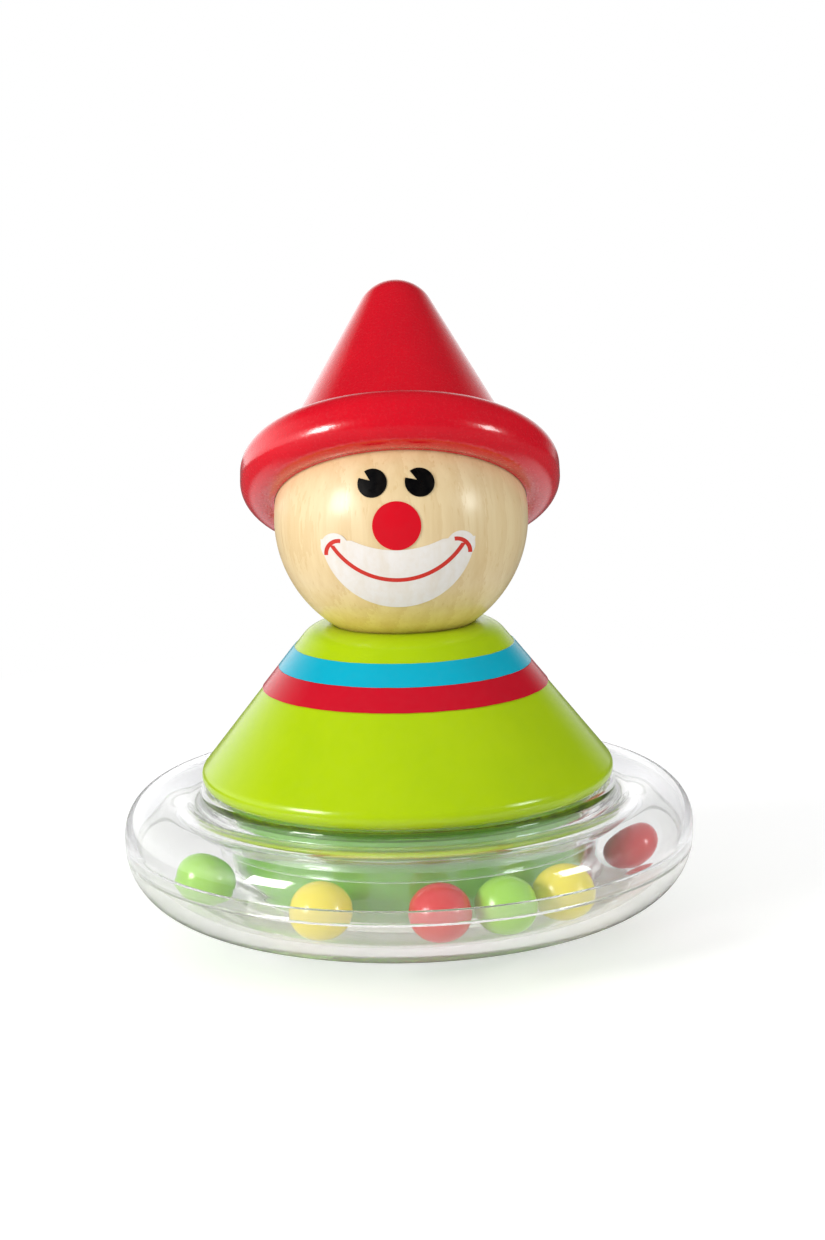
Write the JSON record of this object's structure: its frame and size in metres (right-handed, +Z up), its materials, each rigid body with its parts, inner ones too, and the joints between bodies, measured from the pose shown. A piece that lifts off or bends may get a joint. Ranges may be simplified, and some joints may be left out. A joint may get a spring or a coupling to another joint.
{
  "type": "roly poly toy",
  "caption": "Wooden clown wobble toy: ball head with printed face, tilted cone hat, painted cone body and a weighted clear dome ring in which loose beads roll round.",
  "frame": {"origin": "lowest point of the domed underside, on the upright axis, with the toy standing straight", "axes": "+Z up along the body's axis, -Y towards the front that the printed face looks to, +X to the viewer's right"},
  "size_m": [0.114, 0.114, 0.1297],
  "materials": {
    "hat_red": "gloss red lacquer on turned wood",
    "bare_wood": "bare maple, fine sanded, clear coat",
    "dowel_wood": "bare beech",
    "black_print": "pad-printed ink",
    "red_print": "pad-printed ink",
    "pale_print": "pad-printed ink",
    "smile_print": "pad-printed ink",
    "green_paint": "gloss lime lacquer on turned wood",
    "blue_paint": "gloss lacquer band",
    "red_paint": "gloss lacquer band",
    "ballast_steel": "turned mild steel",
    "screw_steel": "zinc plated",
    "clear_plastic": "clear polished, water white",
    "plug_plastic": "translucent white",
    "bead_red": "gloss lacquer on wood",
    "bead_yellow": "gloss lacquer on wood",
    "bead_green": "gloss lacquer on wood"
  },
  "bodies": {
    "toy": {"hat": "hat_red", "hat_dowel": "dowel_wood", "head": "bare_wood", "eyes": "black_print", "nose": "red_print", "mouth": "pale_print", "smile": "smile_print", "neck_dowel": "dowel_wood", "body": "green_paint", "blue_band": "blue_paint", "red_band": "red_paint", "ballast": "ballast_steel", "ballast_screw": "screw_steel", "upper_ring": "clear_plastic", "lower_ring": "clear_plastic", "ring_screws": "screw_steel", "screw_plugs": "plug_plastic"},
    "red_bead_1": {"red_bead_1": "bead_red"},
    "yellow_bead_1": {"yellow_bead_1": "bead_yellow"},
    "green_bead_1": {"green_bead_1": "bead_green"},
    "red_bead_2": {"red_bead_2": "bead_red"},
    "yellow_bead_2": {"yellow_bead_2": "bead_yellow"},
    "green_bead_2": {"green_bead_2": "bead_green"}
  },
  "joints": [
    {"name": "red_bead_1_run", "type": "hinge", "parent": "toy", "child": "red_bead_1", "pos_m": [0, 0, 0.0167], "axis": [0, 0, 1], "continuous": true},
    {"name": "yellow_bead_1_run", "type": "hinge", "parent": "red_bead_1", "child": "yellow_bead_1", "pos_m": [0, 0, 0.0167], "axis": [0, 0, 1], "range_deg": [-23.3, 29.4]},
    {"name": "green_bead_1_run", "type": "hinge", "parent": "yellow_bead_1", "child": "green_bead_1", "pos_m": [0, 0, 0.0167], "axis": [0, 0, 1], "range_deg": [-51.3, 1.4]},
    {"name": "red_bead_2_run", "type": "hinge", "parent": "green_bead_1", "child": "red_bead_2", "pos_m": [0, 0, 0.0167], "axis": [0, 0, 1], "range_deg": [-52, 0.7]},
    {"name": "yellow_bead_2_run", "type": "hinge", "parent": "red_bead_2", "child": "yellow_bead_2", "pos_m": [0, 0, 0.0167], "axis": [0, 0, 1], "range_deg": [-39.7, 13]},
    {"name": "green_bead_2_run", "type": "hinge", "parent": "yellow_bead_2", "child": "green_bead_2", "pos_m": [0, 0, 0.0167], "axis": [0, 0, 1], "range_deg": [-27.5, 25.2]}
  ]
}
